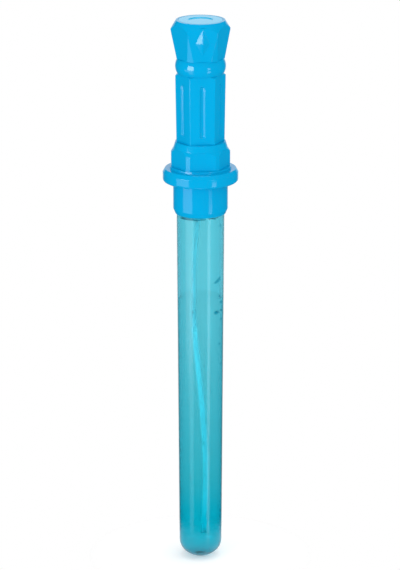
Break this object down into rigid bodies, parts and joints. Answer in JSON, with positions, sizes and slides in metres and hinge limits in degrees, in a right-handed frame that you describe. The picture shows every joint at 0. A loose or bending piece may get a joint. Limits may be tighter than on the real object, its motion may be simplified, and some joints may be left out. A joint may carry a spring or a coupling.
{
  "type": "bubble wand",
  "caption": "Bubble wand toy: a clear tapered tube of bubble solution, closed by a faceted screw-cap handle that carries a long looped wand.",
  "frame": {"origin": "on the axis at the foot of the tube", "axes": "+Z along the axis, from the tube's foot to the top of the handle; -Y is the side that the picture shows"},
  "size_m": [0.0488, 0.0488, 0.3628],
  "materials": {
    "clear_tube": "clear gloss",
    "solution": "clear liquid",
    "wand_plastic": "satin",
    "seal_foam": "matt foam",
    "handle_blue": "moulded gloss",
    "plug_blue": "moulded gloss"
  },
  "bodies": {
    "tube": {"tube": "clear_tube", "bubble_solution": "solution"},
    "seal": {"seal_washer": "seal_foam"},
    "wand": {"wand": "wand_plastic"},
    "handle": {"screw_cap": "handle_blue", "grip": "handle_blue", "pommel": "handle_blue", "end_plug": "plug_blue"}
  },
  "joints": [
    {"name": "draw_out", "type": "slide", "parent": "tube", "child": "seal", "axis": [0, 0, 1], "range_m": [0, 0.25]},
    {"name": "cap_rise", "type": "slide", "parent": "seal", "child": "wand", "axis": [0, 0, 1], "range_m": [0, 0.005]},
    {"name": "unscrew", "type": "hinge", "parent": "wand", "child": "handle", "pos_m": [0, 0, 0.2585], "axis": [0, 0, 1], "range_deg": [0, 450]}
  ],
  "couplings": [
    {"joint": "unscrew", "follows": "cap_rise", "rad_per_m": 1570.8}
  ]
}
